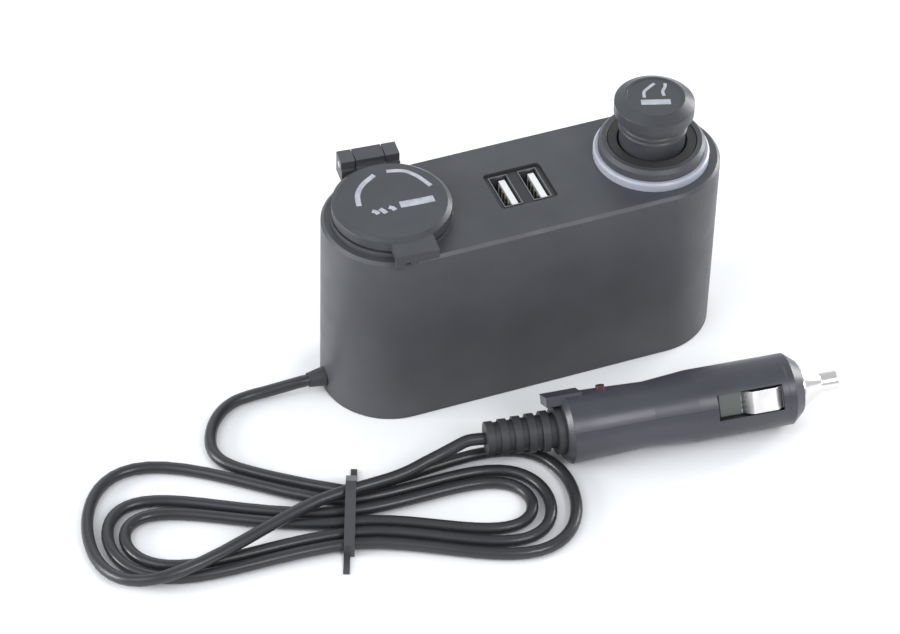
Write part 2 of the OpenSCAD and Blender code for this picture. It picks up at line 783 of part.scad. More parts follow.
// From the cord's tail along the floor and up to the board
module supply_wires() color([0.6, 0.12, 0.1])
    for (side = [-1, 1]) {
        start = [tail_end_x, side * wire_spread * tail_spread_share, exit_z];
        rise = [usb_x - board_x / 6, side * wire_spread * 2, board_under_z / 2];
        tube(smooth_route([
            start, start + [wire_clear, side * wire_r / 2, 0],
            [outlet_x, side * wire_spread * 4, wire_low_z],
            [outlet_x + bore_r, side * wire_spread * 4, wire_low_z],
            [rise[0] - bore_r / 2, side * wire_spread * 3, wire_low_z + wire_clear],
            rise - [wire_clear, 0, board_under_z / 5], rise, rise + [0, 0, board_under_z / 3],
            [rise[0], rise[1], board_under_z - fit]
        ], wire_steps), wire_r, wire_sides, [1, 0, 0], [0, 0, 1], [0, 1, 0]);
    }

// Live and earth wires from the board down to one socket's terminals
module socket_wires(x) {
    toward = -ear_side(x);
    for (i = [0, 1]) {
        foot = i == 0 ? blade_foot(x) : ear_foot(x);
        y = (i == 0 ? 1 : -1) * wire_spread * 2;
        drop_x = usb_x + toward * (board_x / 2 - wire_clear * (1 + i));
        low_z = foot[2] + wire_clear;
        tube(smooth_route([
            [drop_x, y * 3, board_under_z - fit], [drop_x, y * 3, board_under_z - wire_clear * 3],
            [drop_x, y * 2, (board_under_z + low_z) / 2],
            [drop_x + toward * wire_clear / 2, y * 2, low_z + wire_clear * 2],
            [drop_x + toward * wire_clear * 2, y * 3 / 2, foot[2] + wire_clear / 3],
            foot + [-toward * wire_clear * 2, y / 3, 0], foot
        ], wire_steps), wire_r, wire_sides, [0, 0, -1], [toward, 0, 0], [0, 1, 0]);
    }
}

module outlet_wires() color([0.6, 0.12, 0.1]) socket_wires(outlet_x);
module lighter_wires() color([0.6, 0.12, 0.1]) socket_wires(lighter_x);

// CORD: one lead to the hank, three folded loops, one lead to the plug

cord_lift = 0.05;
lie_z = cord_r + cord_lift;
strand_gap = 0.65;
strand_step = cord_d + strand_gap;
strands = 6;

// Middle of the hank's waist on the surface, and the way the hank points
hank_at = [-72.5, -55.5];
hank_turn = -11.8;
waist_shift = 2;
over_shift = 8;

// The tie's band under the waist
tie_t = 0.5;
tie_gap = 0.1;
tie_w = 3;
tie_turn = -10;
turn_room = 0.5;
lead_room = 0.7;
waist_lift = tie_t + tie_gap - cord_lift;

function row(i) = waist_shift + strand_step * ((strands - 1) / 2 - i);

// Each half loop's reach, half width, middle and the share that rounds its end
loop_reach = [64.3, 67.5, 51.8, 62.8, 56.9, 72.8];
loop_half = [17.4, 13.5, 8.6, 9.7, 12.4, 23.1];
loop_mid = [1.6, 3.9, 0.4, 2.7, -0.4, 6.1];
loop_round_shares = [1.7, 1.9, 1.8, 1.9, 1.8, 1.4];
// Side of the waist, side of the loop where it starts, and the waist places it joins
loop_side = [1, -1, 1, -1, 1, -1];
loop_start = [1, -1, 1, 1, -1, 1];
loop_from = [0, 5, 2, 3, 4, 1];
loop_to = [5, 2, 3, 4, 1, -1];
rings_per_half = 12;
ring_crowd_share = 0.2;
climb_from = 95;
climb_turn = 50;

function ease(f) = let (g = max(0, min(1, f))) g * g * (3 - 2 * g);
function waist_place(i) = i < 0 ? over_shift : row(i);
function loop_point(k, t) =
    let (
        s = sin(t), c = cos(t), round = loop_round_shares[k],
        peak_t = atan(sqrt(round)), peak = pow(sin(peak_t), round) * cos(peak_t),
        a = waist_place(loop_from[k]), b = waist_place(loop_to[k]),
        u = loop_side[k] * loop_reach[k] * s,
        v = (a + (b - a) * (1 - c) / 2) * c * c + loop_mid[k] * s * s
            + loop_start[k] * loop_half[k] / peak * pow(max(s, 0), round) * c,
        climb = loop_to[k] < 0 ? strand_step * ease((t - climb_from) / climb_turn) : 0
    )
    [u, v, lie_z + waist_lift * pow(c, 8) + climb];

// From the hank's own directions to the object's
function hank_place(q) = [
    hank_at[0] + q[0] * cos(hank_turn) - q[1] * sin(hank_turn),
    hank_at[1] + q[0] * sin(hank_turn) + q[1] * cos(hank_turn), q[2]
];
HANK = [for (k = [0:len(loop_reach) - 1], i = [k == 0 ? 0 : 1:rings_per_half])
    let (f = i / rings_per_half) loop_point(k, 180 * f + ring_crowd_share * sin(360 * f) * 180 / PI)];
HANK_PATH = [for (q = HANK) hank_place(q)];
hank_way = [cos(hank_turn), sin(hank_turn), 0];

// Least gap from one stretch of the hank to another, between points along it
fine = [for (i = [0:len(HANK_PATH) - 2], s = [0:3]) HANK_PATH[i] + (HANK_PATH[i + 1] - HANK_PATH[i]) * s / 4];
skip_steps = 12;
last_fine = len(fine) - 1;
hank_gap = min([for (i = [0:last_fine - skip_steps], j = [i + skip_steps:last_fine]) norm(fine[i] - fine[j])])
    - cord_d;
echo(least_hank_gap = hank_gap, hank_length = route_length(HANK_PATH));

// Route of the lead from the grommet to the hank, hand-placed
lead_end = HANK_PATH[0];
lead_sweep = 1.4;
LEAD = [
    [exit_x, 0, exit_z], [exit_x - grommet_l / 2, 0, exit_z], [exit_x - grommet_l, 0, exit_z],
    [-68, 0.3, 4.3], [-72, 1, 3.4], [-77, 1.9, 2.3], [-82, 2.3, lie_z], [-87, 1.5, lie_z], [-91.5, -1, lie_z],
    [-95.3, -5, lie_z], [-98, -10, lie_z], [-99.1, -15, lie_z], [-98.2, -19.4, lie_z], [-95.4, -23.4, lie_z],
    [-91.4, -27.1, lie_z], [-86.9, -30.8, lie_z], [-82.6, -34, lie_z], [-78.4, -37.1, lie_z],
    hank_place([-cord_d, row(0) + lead_sweep, lie_z + waist_lift]), lead_end
];
module cord_lead() color([0.11, 0.11, 0.12]) tube(smooth_route(LEAD, 2), cord_r, 8, [-1, 0, 0], hank_way);
module cord_hank() color([0.11, 0.11, 0.12]) tube(HANK_PATH, cord_r, 6, hank_way, hank_way);

// The band lies a little askew, so it stands wider, and more so where the lead swings off
tie_low = row(strands - 1) - cord_r - tie_gap - turn_room;
tie_high = row(0) + cord_r + tie_gap + turn_room + lead_room;

// It follows the six strands below and the one that crosses above them
module tie_outline(grow) {
    low = tie_low - grow;
    high = tie_high + grow;
    shoulder_z = tie_t + cord_d + 2 * tie_gap + grow;
    top_z = tie_t + cord_d + strand_step + 2 * tie_gap + grow;
    polygon([
        [low, tie_t - grow], [high, tie_t - grow], [high, shoulder_z], [over_shift + cord_r, top_z],
        [over_shift - cord_r, top_z], [low, shoulder_z]
    ]);
}

tail_w = 1.8;
tail_reach = 7;

module hank_tie() color([0.09, 0.09, 0.1])
    translate([hank_at[0], hank_at[1], 0])
        rotate([90, 0, 90 + hank_turn + tie_turn])
            translate([0, 0, -tie_w / 2]) {
                linear_extrude(height = tie_w) difference() {
                    tie_outline(tie_t);
                    tie_outline(0);
                }
                translate([tie_high + tie_t / 2, 0, tie_w - tail_w]) cube([tail_reach, tie_t, tail_w]);
                translate([tie_low - tie_t / 2 - tail_reach, 0, 0]) cube([tail_reach, tie_t, tail_w]);
            }

// PLUG, lying on the surface

plug_r = plug_d / 2;
plug_at = [-6.3, -49.2];
plug_turn = -5.9;
plug_roll = 33;
plug_rear_r = 10.3;
plug_waist_r = 9.3;
plug_step_at = 25.5;
plug_step_l = 13;
plug_wall = 1.9;
nose_l = 5.2;
nose_r = 7.8;
rear_chamfer = 1.4;
relief_tilt = 4.3;
relief_seat_r = 4.4;
relief_seat_l = 4;
body_l = plug_l - nose_l;

// Everything on the plug, along its axis from its rear face
module plug_frame() {
    translate([plug_at[0], plug_at[1], plug_r])
        rotate([0, 0, plug_turn])
            rotate([0, 90, 0])
                rotate([0, 0, 90 - plug_roll])
                    children();
}

relief_ribs = 5;
relief_root_r = 7;
relief_root_l = 2.2;
relief_thick_r = 6.2;
relief_thin_r = 4.8;
rib_depth = 1.1;
rib_share = 0.55;

relief_back = [-cos(plug_turn - relief_tilt), -sin(plug_turn - relief_tilt), 0];
relief_end = [plug_at[0], plug_at[1], plug_r] + relief_l * relief_back;

// The ribbed part leans off a root that stands square on the plug
module plug_strain_relief() color([0.12, 0.12, 0.13]) {
    free_l = relief_l - relief_root_l;
    translate([plug_at[0], plug_at[1], plug_r])
        rotate([0, 0, plug_turn - relief_tilt])
            rotate([0, -90, 0]) {
                translate([0, 0, relief_root_l / 2])
                    cylinder(r1 = relief_thick_r - rib_depth, r2 = relief_thin_r - rib_depth / 2,
                        h = relief_l - relief_root_l / 2);
                for (i = [1:relief_ribs])
                    translate([0, 0, relief_root_l + free_l * (i - rib_share) / relief_ribs])
                        cylinder(r = relief_thick_r - (relief_thick_r - relief_thin_r) * i / relief_ribs,
                            h = free_l * rib_share / relief_ribs);
            }
    plug_frame() {
        translate([0, 0, -relief_root_l]) cylinder(r = relief_root_r, h = relief_root_l);
        translate([0, 0, -relief_root_l]) cylinder(r = relief_seat_r, h = relief_seat_l + relief_root_l);
    }
}

slot_at = 43.9;
slot_l = 19.5;
slot_w = 7.6;
slot_depth = 4;
contact_sink = 1.4;
contact_x = plug_r - contact_sink;
pocket_depth = 3.9;
contact_strip_t = 0.5;
contact_strip_w = 6.4;
contact_foot_l = 1.2;
contact_bow = 1.9;
contact_dive = 1.8;
dive_share = 0.4;
bow_share = 0.52;
bow_end_share = 0.88;
fuse_r = 3.1;
fuse_l = 22;
fuse_gap = 0.4;
tip_base_r = 7.5;
tip_flange_l = 1.6;
tip_cone_l = 6.8;
tip_pin_r = 2.7;
tip_round = 0.7;
tip_travel = 2;
lamp_at = 12.7;
lamp_r = 1.3;
lamp_rise = 0.4;
tongue_reach = 4.2;
tongue_l = 10.6;
tongue_w = 7;
tongue_rise = 0.1;
tongue_t = 2.9;
plug_screw_at = 21;
plug_screw_r = 1.1;
plug_screw_head_r = 2.2;
plug_screw_l = 9;
plug_screw_drop = 1.2;
plug_screw_head_h = 1.2;
plug_screw_boss_r = 2.6;
thread_l = 3;
thread_r = 8.8;
half_gap = 0.05;

// Outside of the two halves together
module plug_outline() {
    lathe([
        [0, 0], [plug_rear_r - rear_chamfer, 0], [plug_rear_r, rear_chamfer],
        [plug_waist_r, plug_step_at], [plug_r, plug_step_at + plug_step_l], [plug_r, body_l],
        [thread_r, body_l], [thread_r, body_l + thread_l], [0, body_l + thread_l]
    ]);
}

nose_shoulder = 1.2;
nose_round = 3.2;
nose_hole_r = 7;
tip_z = plug_l;
tip_foot_z = tip_z - tip_flange_l - side_gap - nose_shoulder;
fuse_z = tip_foot_z - fuse_l;
chamber_r = plug_waist_r - plug_wall;
chamber_from = relief_seat_l;
guide_r = fuse_r + fuse_gap;
spring_seat_z = 35;
spring_seat_t = 2;

// Room inside the two halves: a rear chamber for the leads, then a guide for the fuse
module plug_room() {
    translate([0, 0, -over]) cylinder(r = relief_seat_r + fit, h = relief_seat_l + over + side_gap);
    translate([0, 0, chamber_from]) cylinder(r = chamber_r, h = spring_seat_z - chamber_from);
    translate([0, 0, spring_seat_z + spring_seat_t]) cylinder(r = guide_r, h = plug_l);
    translate([0, 0, tip_foot_z - tip_travel - side_gap]) cylinder(r = tip_base_r + slide_fit, h = plug_l);
    for (side = [-1, 1]) {
        translate([side * plug_r, 0, slot_at]) block(2 * slot_depth, slot_w, slot_l);
        translate([side * (contact_x - pocket_depth / 2), 0, slot_at - contact_foot_l])
            block(pocket_depth, slot_w, slot_l + 2 * contact_foot_l);
    }
    translate([0, plug_r, lamp_at])
        rotate([90, 0, 0]) cylinder(r = lamp_r + fit, h = plug_r, $fn = round_small);
    plug_screw_room();
}

// The screw's hole and the deeper seat of its head, from the lower side
module plug_screw_room() {
    seat_h = over + plug_r - plug_waist_r + plug_screw_drop + plug_screw_head_h;
    translate([0, -plug_r - over, plug_screw_at]) rotate([-90, 0, 0]) {
        cylinder(r = plug_screw_r + fit, h = plug_r + over + plug_screw_l / 2, $fn = round_small);
        cylinder(r = plug_screw_head_r + side_gap, h = seat_h, $fn = round_small);
    }
}

// One half of the plug: the seam runs through the two side slots, and a tongue on the upper half
// reaches back over the strain relief's root
module plug_half(up) {
    difference() {
        union() {
            difference() {
                union() {
                    plug_outline();
                    if (up > 0)
                        translate([0, plug_rear_r + tongue_rise - tongue_t, -tongue_reach])
                            block_up(tongue_w, tongue_t, tongue_l);
                }
                plug_room();
            }
            intersection() {
                difference() {
                    translate([0, -plug_r, plug_screw_at])
                        rotate([-90, 0, 0])
                            cylinder(r = plug_screw_boss_r, h = 2 * plug_r, $fn = round_small);
                    plug_screw_room();
                }
                translate([0, 0, chamber_from])
                    cylinder(r = chamber_r + plug_wall / 2, h = spring_seat_z - chamber_from);
            }
        }
        translate([-2 * plug_r, up > 0 ? half_gap / 2 - 4 * plug_r : -half_gap / 2, -over])
            cube([4 * plug_r, 4 * plug_r, plug_l + 2 * over]);
    }
}

// A block standing on its front face, centred across
module block_up(x, y, h) {
    translate([-x / 2, 0, 0]) cube([x, y, h]);
}

module plug_upper_half() color([0.15, 0.155, 0.165]) plug_frame() plug_half(1);
module plug_lower_half() color([0.15, 0.155, 0.165]) plug_frame() plug_half(-1);

module plug_screw() color("silver") plug_frame()
    translate([0, -plug_waist_r + plug_screw_drop - side_gap / 2, plug_screw_at])
        rotate([-90, 0, 0])
            screw(plug_screw_r, plug_screw_l - side_gap, plug_screw_head_r, plug_screw_head_h,
                small_cross_share);

module plug_nose_ring() color([0.13, 0.135, 0.145]) plug_frame()
    lathe([
        [thread_r + fit, body_l], [plug_r, body_l], [plug_r, plug_l - nose_round], [nose_r, plug_l],
        [nose_hole_r, plug_l], [nose_hole_r, plug_l - nose_shoulder],
        [tip_base_r + slide_fit, plug_l - nose_shoulder],
        [tip_base_r + slide_fit, body_l + thread_l + side_gap],
        [thread_r + fit, body_l + thread_l + side_gap]
    ]);

// The tip is held in by its flange and slides back against the spring behind the fuse
module plug_tip() color("silver") plug_frame()
    lathe([
        [0, tip_foot_z], [tip_base_r, tip_foot_z], [tip_base_r, tip_foot_z + tip_flange_l],
        [nose_hole_r - slide_fit, tip_foot_z + tip_flange_l], [nose_hole_r - slide_fit, tip_z + tip_round],
        [tip_pin_r, tip_z + tip_cone_l], [tip_pin_r, tip_z + tip_l - tip_round],
        [tip_pin_r - tip_round, tip_z + tip_l], [0, tip_z + tip_l]
    ]);

module plug_fuse() color([0.8, 0.82, 0.8]) plug_frame()
    translate([0, 0, fuse_z]) cylinder(r = fuse_r, h = fuse_l);

plug_spring_wire_r = 0.35;
plug_spring_turns = 5;
plug_spring_r = fuse_r - plug_spring_wire_r - fit;
plug_spring_low = spring_seat_z + spring_seat_t + tip_travel + side_gap + plug_spring_wire_r;
plug_spring_high = fuse_z - plug_spring_wire_r;

module plug_tip_spring() color("silver") plug_frame()
    tube(spring_path([0, 0], plug_spring_r, plug_spring_low, plug_spring_high, plug_spring_turns),
        plug_spring_wire_r, 6);

// A sprung strip: its feet lie under the ends of the slot, it dives behind and bows out in front
module side_contact(side) {
    mid = contact_x - contact_strip_t / 2 - side_gap;
    path = [
        [mid, slot_at - contact_foot_l + side_gap], [mid, slot_at],
        [mid - contact_dive, slot_at + contact_foot_l], [mid - contact_dive, slot_at + slot_l * dive_share],
        [mid + contact_bow, slot_at + slot_l * bow_share],
        [mid + contact_bow, slot_at + slot_l * bow_end_share],
        [mid, slot_at + slot_l - side_gap], [mid, slot_at + slot_l + contact_foot_l - side_gap]
    ];
    plug_frame()
        rotate([0, 0, side > 0 ? 0 : 180])
            rotate([90, 0, 0])
                translate([0, 0, -contact_strip_w / 2])
                    linear_extrude(height = contact_strip_w)
                        polygon(concat(
                            [for (p = path) p + [contact_strip_t / 2, 0]],
                            [for (i = [len(path) - 1:-1:0]) path[i] - [contact_strip_t / 2, 0]]
                        ));
}

module plug_contact_front() color("silver") side_contact(-1);
module plug_contact_back() color("silver") side_contact(1);

module plug_lamp() color([0.7, 0.08, 0.06]) plug_frame()
    translate([0, chamber_r, lamp_at])
        rotate([-90, 0, 0])
            cylinder(r = lamp_r, h = plug_rear_r - chamber_r + lamp_rise, $fn = round_small);

lead_bulge = 0.9;
lead_from = wire_spread * tail_spread_share;

// Leads from the strain relief to the spring's seat, one on each side of the screw
module plug_leads() color([0.6, 0.12, 0.1]) plug_frame()
    for (side = [-1, 1])
        tube(smooth_route([
            [side * lead_from, 0, chamber_from + side_gap],
            [side * (lead_from + wire_r / 2), side * lead_bulge / 4, chamber_from + wire_clear],
            [side * chamber_r / 2, side * lead_bulge, chamber_from + chamber_r],
            [side * chamber_r * 2 / 3, side * lead_bulge * 2, spring_seat_z / 2],
            [side * chamber_r * 2 / 3, side * lead_bulge, spring_seat_z - 2 * wire_clear],
            [side * chamber_r * 2 / 3, side * wire_r, spring_seat_z - fit]
        ], wire_steps), wire_r, wire_sides, [0, 0, 1], [0, 0, 1], [0, 1, 0]);

// Route of the lead from the hank to the strain relief, hand-placed
plug_lead_start = HANK_PATH[len(HANK_PATH) - 1];
plug_lead_straight = 5;
PLUG_LEAD = [
    plug_lead_start, [-61, -47.4, 6.5], [-56, -47.1, 6.5], [-51, -46.4, 6.7], [-46.2, -45.4, 7.2],
    [-41.6, -44.8, 8], [-37.2, -44.5, 9.2], relief_end + plug_lead_straight * relief_back, relief_end
];
module cord_plug_lead() color([0.11, 0.11, 0.12])
    tube(smooth_route(PLUG_LEAD, 2), cord_r, 8, hank_way, -relief_back);

echo(lead_length = route_length(smooth_route(LEAD, 2)));
echo(plug_lead_length = route_length(smooth_route(PLUG_LEAD, 2)));

housing_shell();
bottom_cover();
cover_screws();
cord_grommet();
outlet_bezel();
outlet_barrel();
outlet_insulator();
outlet_centre_contact();
outlet_clamp_ring();
cap_hinge_pin();
socket_cap();
cap_seal();
light_ring();
lighter_bezel();
lighter_barrel();
lighter_insulator();
lighter_centre_contact();
lighter_clips();
lighter_clamp_ring();
lighter_knob();
lighter_stem();
lighter_sleeve();
lighter_collar();
lighter_spring();
lighter_coil_cup();
lighter_coil();
usb_faceplate();
usb_shells();
usb_tongues();
usb_contacts();
circuit_board();
board_screws();
board_inductor();
board_capacitors();
board_chips();
cord_tail();
supply_wires();
outlet_wires();
lighter_wires();
cord_lead();
cord_hank();
hank_tie();
cord_plug_lead();
plug_strain_relief();
plug_upper_half();
plug_lower_half();
plug_screw();
plug_nose_ring();
plug_tip();
plug_fuse();
plug_tip_spring();
plug_contact_front();
plug_contact_back();
plug_lamp();
plug_leads();
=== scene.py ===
"""Looks of a car power socket: a power box with a capped outlet, two USB ports and a pull-out
lighter, its cord folded in a tied hank, and the plug. Lengths are in metres, and MM is a millimetre."""
import json
import math
from typing import NamedTuple

import bpy
from mathutils import Matrix, Vector


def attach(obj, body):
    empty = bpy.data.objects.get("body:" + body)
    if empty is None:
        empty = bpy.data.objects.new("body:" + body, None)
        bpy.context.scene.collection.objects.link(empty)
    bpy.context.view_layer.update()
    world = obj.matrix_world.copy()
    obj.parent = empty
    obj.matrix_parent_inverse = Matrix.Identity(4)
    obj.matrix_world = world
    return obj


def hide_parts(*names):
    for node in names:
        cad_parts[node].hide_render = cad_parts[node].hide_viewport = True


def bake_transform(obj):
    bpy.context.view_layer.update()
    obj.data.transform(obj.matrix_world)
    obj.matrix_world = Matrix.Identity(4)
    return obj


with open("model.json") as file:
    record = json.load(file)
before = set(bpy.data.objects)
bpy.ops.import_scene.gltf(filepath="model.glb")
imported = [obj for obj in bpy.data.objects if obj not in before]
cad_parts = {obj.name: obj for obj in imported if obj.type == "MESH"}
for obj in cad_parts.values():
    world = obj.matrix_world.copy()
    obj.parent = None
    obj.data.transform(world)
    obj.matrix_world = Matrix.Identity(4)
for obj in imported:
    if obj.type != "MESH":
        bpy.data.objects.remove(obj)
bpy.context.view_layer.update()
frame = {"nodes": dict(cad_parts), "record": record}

NODES = frame["nodes"]
SLOTS = {entry["node"]: entry["material_slot"] for entry in frame["record"]["subparts"]}
MM = 0.001

# Main sizes of the object
OUTLET_X = -39.75 * MM
LIGHTER_X = 39.75 * MM
CAP_TURN = math.radians(-5)
CAP_TOP = 66.2 * MM
KNOB_TOP = 81.35 * MM
CORD_D = 3.5 * MM
CORD_R = CORD_D / 2


# Camera

# Place and direction fitted to the photo's outlines; the long lens matches its weak perspective
CAMERA_AT = Vector((-360.04, -810.18, 834.73)) * MM
CAMERA_TURN = math.radians(-22.709)
CAMERA_RISE = math.radians(43.01)
CAMERA_ROLL = math.radians(1.795)
CAMERA_LENS = 165.83
CAMERA_SEES_TO = 20


def make_camera():
    """The photograph's camera, built from its turn, rise and roll."""
    right = Vector((math.cos(CAMERA_TURN), math.sin(CAMERA_TURN), 0))
    back = Vector((
        math.sin(CAMERA_TURN) * math.cos(CAMERA_RISE),
        -math.cos(CAMERA_TURN) * math.cos(CAMERA_RISE),
        math.sin(CAMERA_RISE),
    ))
    up = back.cross(right)
    cosine, sine = math.cos(CAMERA_ROLL), math.sin(CAMERA_ROLL)
    right, up = cosine * right + sine * up, -sine * right + cosine * up
    data = bpy.data.cameras.new("camera")
    data.lens = CAMERA_LENS
    data.clip_end = CAMERA_SEES_TO
    camera = bpy.data.objects.new("camera", data)
    turned = Matrix((right, up, back)).transposed().to_4x4()
    camera.matrix_world = Matrix.Translation(CAMERA_AT) @ turned
    bpy.context.collection.objects.link(camera)
    bpy.context.scene.camera = camera


make_camera()


# Materials

BUMP_STRENGTH = 0.5
EDGE_SAMPLES = 4
BLOTCH_DETAIL = 4
SMUDGE_DETAIL = 5
GRAIN_DETAIL = 3
# How many times finer the smudges in the shine are than the blotches in the colour
SMUDGE_FINER = 2.6
# Every look made so far, by its name
LOOKS = {}


def new_material(name):
    """An empty node material: its nodes, its links and its main shader."""
    material = bpy.data.materials.new(name)
    material.use_nodes = True
    tree = material.node_tree
    return material, tree.nodes, tree.links, tree.nodes["Principled BSDF"]


def noise(nodes, links, where, scale, detail):
    """A noise texture over the places that where gives."""
    node = nodes.new("ShaderNodeTexNoise")
    node.inputs["Scale"].default_value = scale
    node.inputs["Detail"].default_value = detail
    links.new(where, node.inputs["Vector"])
    return node.outputs["Fac"]


def stretched(nodes, links, where, scales):
    """The same places, scaled along each axis."""
    node = nodes.new("ShaderNodeMapping")
    node.inputs["Scale"].default_value = scales
    links.new(where, node.inputs["Vector"])
    return node.outputs["Vector"]


def remap(nodes, links, value, low, high, from_low=0.3, from_high=0.7):
    """The middle of a noise's range spread from low to high."""
    node = nodes.new("ShaderNodeMapRange")
    ends = {"From Min": from_low, "From Max": from_high, "To Min": low, "To Max": high}
    for key, number in ends.items():
        node.inputs[key].default_value = number
    links.new(value, node.inputs["Value"])
    return node.outputs["Result"]


def mixed(nodes, links, kind, factor, low, high):
    """A value between low and high, which may each be a plain value or another node's output."""
    node = nodes.new("ShaderNodeMix")
    node.data_type = kind
    links.new(factor, node.inputs["Factor"])
    for key, value in (("A", low), ("B", high)):
        if isinstance(value, bpy.types.NodeSocket):
            links.new(value, node.inputs[key])
        else:
            node.inputs[key].default_value = value
    return node.outputs["Result"]


def surface(name, colour, rough, mottle=0.12, grain=2200, depth=0.03, spread=0.06, metal=0.0, blotch=45,
            brushed=None, specular=0.5, round_edges=0.0, **extra):
    """A grained or worn surface. Its colour varies by the share mottle and its roughness by spread.
    grain and blotch are noise scales per metre, depth is the grain's height and round_edges the radius
    drawn on sharp edges, both in millimetres, and brushed stretches the grain along an axis."""
    material, nodes, links, shader = new_material(name)
    where = nodes.new("ShaderNodeTexCoord").outputs["Object"]

    blotches = remap(nodes, links, noise(nodes, links, where, blotch, BLOTCH_DETAIL), 0, 1)
    dark = [c * (1 - mottle) for c in colour]
    light = [min(1, c * (1 + mottle)) for c in colour]
    tint = mixed(nodes, links, "RGBA", blotches, (*dark, 1), (*light, 1))
    links.new(tint, shader.inputs["Base Color"])

    smudges = noise(nodes, links, where, blotch * SMUDGE_FINER, SMUDGE_DETAIL)
    shine = remap(nodes, links, smudges, rough - spread, rough + spread)
    links.new(shine, shader.inputs["Roughness"])

    grain_where = stretched(nodes, links, where, brushed) if brushed else where
    bump = nodes.new("ShaderNodeBump")
    bump.inputs["Strength"].default_value = BUMP_STRENGTH
    bump.inputs["Distance"].default_value = depth * MM
    links.new(noise(nodes, links, grain_where, grain, GRAIN_DETAIL), bump.inputs["Height"])
    if round_edges:
        edge = nodes.new("ShaderNodeBevel")
        edge.samples = EDGE_SAMPLES
        edge.inputs["Radius"].default_value = round_edges * MM
        links.new(edge.outputs["Normal"], bump.inputs["Normal"])
    links.new(bump.outputs["Normal"], shader.inputs["Normal"])

    shader.inputs["Metallic"].default_value = metal
    shader.inputs["Specular IOR Level"].default_value = specular
    for key, value in extra.items():
        shader.inputs[key.replace("_", " ")].default_value = value
    LOOKS[name] = material


# Each look has its name, colour and roughness, and then what sets it apart
surface("black_plastic", (0.050, 0.052, 0.058), 0.46, round_edges=0.25)
surface("cap_plastic", (0.036, 0.038, 0.043), 0.4, round_edges=0.25)
surface("knob_plastic", (0.038, 0.040, 0.045), 0.38, round_edges=0.25)
surface("plug_plastic", (0.043, 0.044, 0.053), 0.34, round_edges=0.25)
surface("inner_plastic", (0.018, 0.018, 0.020), 0.45, round_edges=0.2)
surface("pale_ring", (0.37, 0.385, 0.44), 0.35, mottle=0.05, round_edges=0.2,
        Subsurface_Weight=0.2, Subsurface_Scale=2 * MM)
surface("tongue_white", (0.82, 0.82, 0.80), 0.3, mottle=0.03)
surface("soft_black", (0.030, 0.030, 0.033), 0.55, round_edges=0.25)
surface("cord_black", (0.024, 0.024, 0.026), 0.32, grain=900, depth=0.05)
surface("tie_black", (0.05, 0.05, 0.055), 0.35)
surface("insulator_brown", (0.2, 0.09, 0.06), 0.45)
surface("barrel_metal", (0.62, 0.62, 0.62), 0.28, metal=1, brushed=(1, 1, 8))
surface("dark_metal", (0.12, 0.12, 0.125), 0.4, metal=1)
surface("collar_brown", (0.034, 0.032, 0.032), 0.5, specular=0.35, round_edges=0.2)
surface("screw_steel", (0.55, 0.55, 0.55), 0.3, metal=1, round_edges=0.1)
surface("shell_metal", (0.24, 0.24, 0.25), 0.5, metal=1, round_edges=0.1)
surface("tip_metal", (0.78, 0.76, 0.73), 0.18, metal=1, mottle=0.05, round_edges=0.2)
surface("strip_bright", (0.97, 0.95, 0.94), 0.3, metal=1, mottle=0.03, round_edges=0.2)
surface("contact_brass", (0.30, 0.25, 0.17), 0.4, metal=1)
surface("coil_metal", (0.22, 0.18, 0.16), 0.5, metal=1)
surface("can_metal", (0.5, 0.5, 0.52), 0.35, metal=1)
surface("board_green", (0.04, 0.18, 0.09), 0.4)
surface("wire_red", (0.4, 0.05, 0.045), 0.35)
surface("fuse_glass", (0.8, 0.85, 0.82), 0.08, Alpha=0.5)
surface("lamp_red", (0.075, 0.012, 0.016), 0.25, mottle=0.05, Coat_Weight=0.5)
surface("print_pale", (0.36, 0.37, 0.41), 0.5, mottle=0.2, blotch=400)


def dress_nodes():
    """Every carried-over node gets the look of its slot in the record."""
    for name, slot in SLOTS.items():
        materials = NODES[name].data.materials
        materials.clear()
        materials.append(LOOKS[slot])


dress_nodes()


# Cord

LIE_Z = CORD_R + 0.05 * MM
STRANDS = 6
STEP = CORD_D + 0.65 * MM
HANK_AT = Vector((-72.5, -55.5, 0)) * MM
HANK_TURN = math.radians(-11.8)
HANK_STEPS = 40
WAIST_SHIFT = 2 * MM
WAIST_LIFT = 0.55 * MM
WAIST_SHARPNESS = 8
# The last strand ends this far across the waist, on top of the others. It climbs in the second half of
# its half loop, from one angle in degrees and over a span of more
OVER_SHIFT = 8 * MM
CLIMB_FROM = 95
CLIMB_SPAN = 50
# How much closer a half loop's points lie where it turns
CLOSER_IN_TURN = 0.2


def curve_at(before, start, end, after, share):
    """A point of the smooth curve from start to end, a share of the way along it."""
    slope = end - before
    bend = 2 * before - 5 * start + 4 * end - after
    twist = 3 * start - before - 3 * end + after
    return (2 * start + slope * share + bend * share ** 2 + twist * share ** 3) / 2


def smooth_route(points, steps):
    """The smooth curve through given points."""
    route = []
    last = len(points) - 1
    for i in range(last):
        near = [points[max(i - 1, 0)], points[i], points[i + 1], points[min(i + 2, last)]]
        route += [curve_at(*near, s / steps) for s in range(steps)]
    return route + [points[last]]


def tube_curve(name, points, radius, look, segments=5):
    """A round tube along points, as a curve object of one open spline."""
    data = bpy.data.curves.new(name, "CURVE")
    data.dimensions = "3D"
    data.bevel_depth = radius
    data.bevel_resolution = segments
    data.use_fill_caps = True
    spline = data.splines.new("POLY")
    spline.points.add(len(points) - 1)
    for place, point in zip(spline.points, points):
        place.co = (*point, 1)
    spline.use_smooth = True
    data.materials.append(LOOKS[look])
    piece = bpy.data.objects.new(name, data)
    bpy.context.collection.objects.link(piece)
    return piece


def row(strand):
    """The place of a strand across the hank's waist."""
    return WAIST_SHIFT + STEP * ((STRANDS - 1) / 2 - strand)


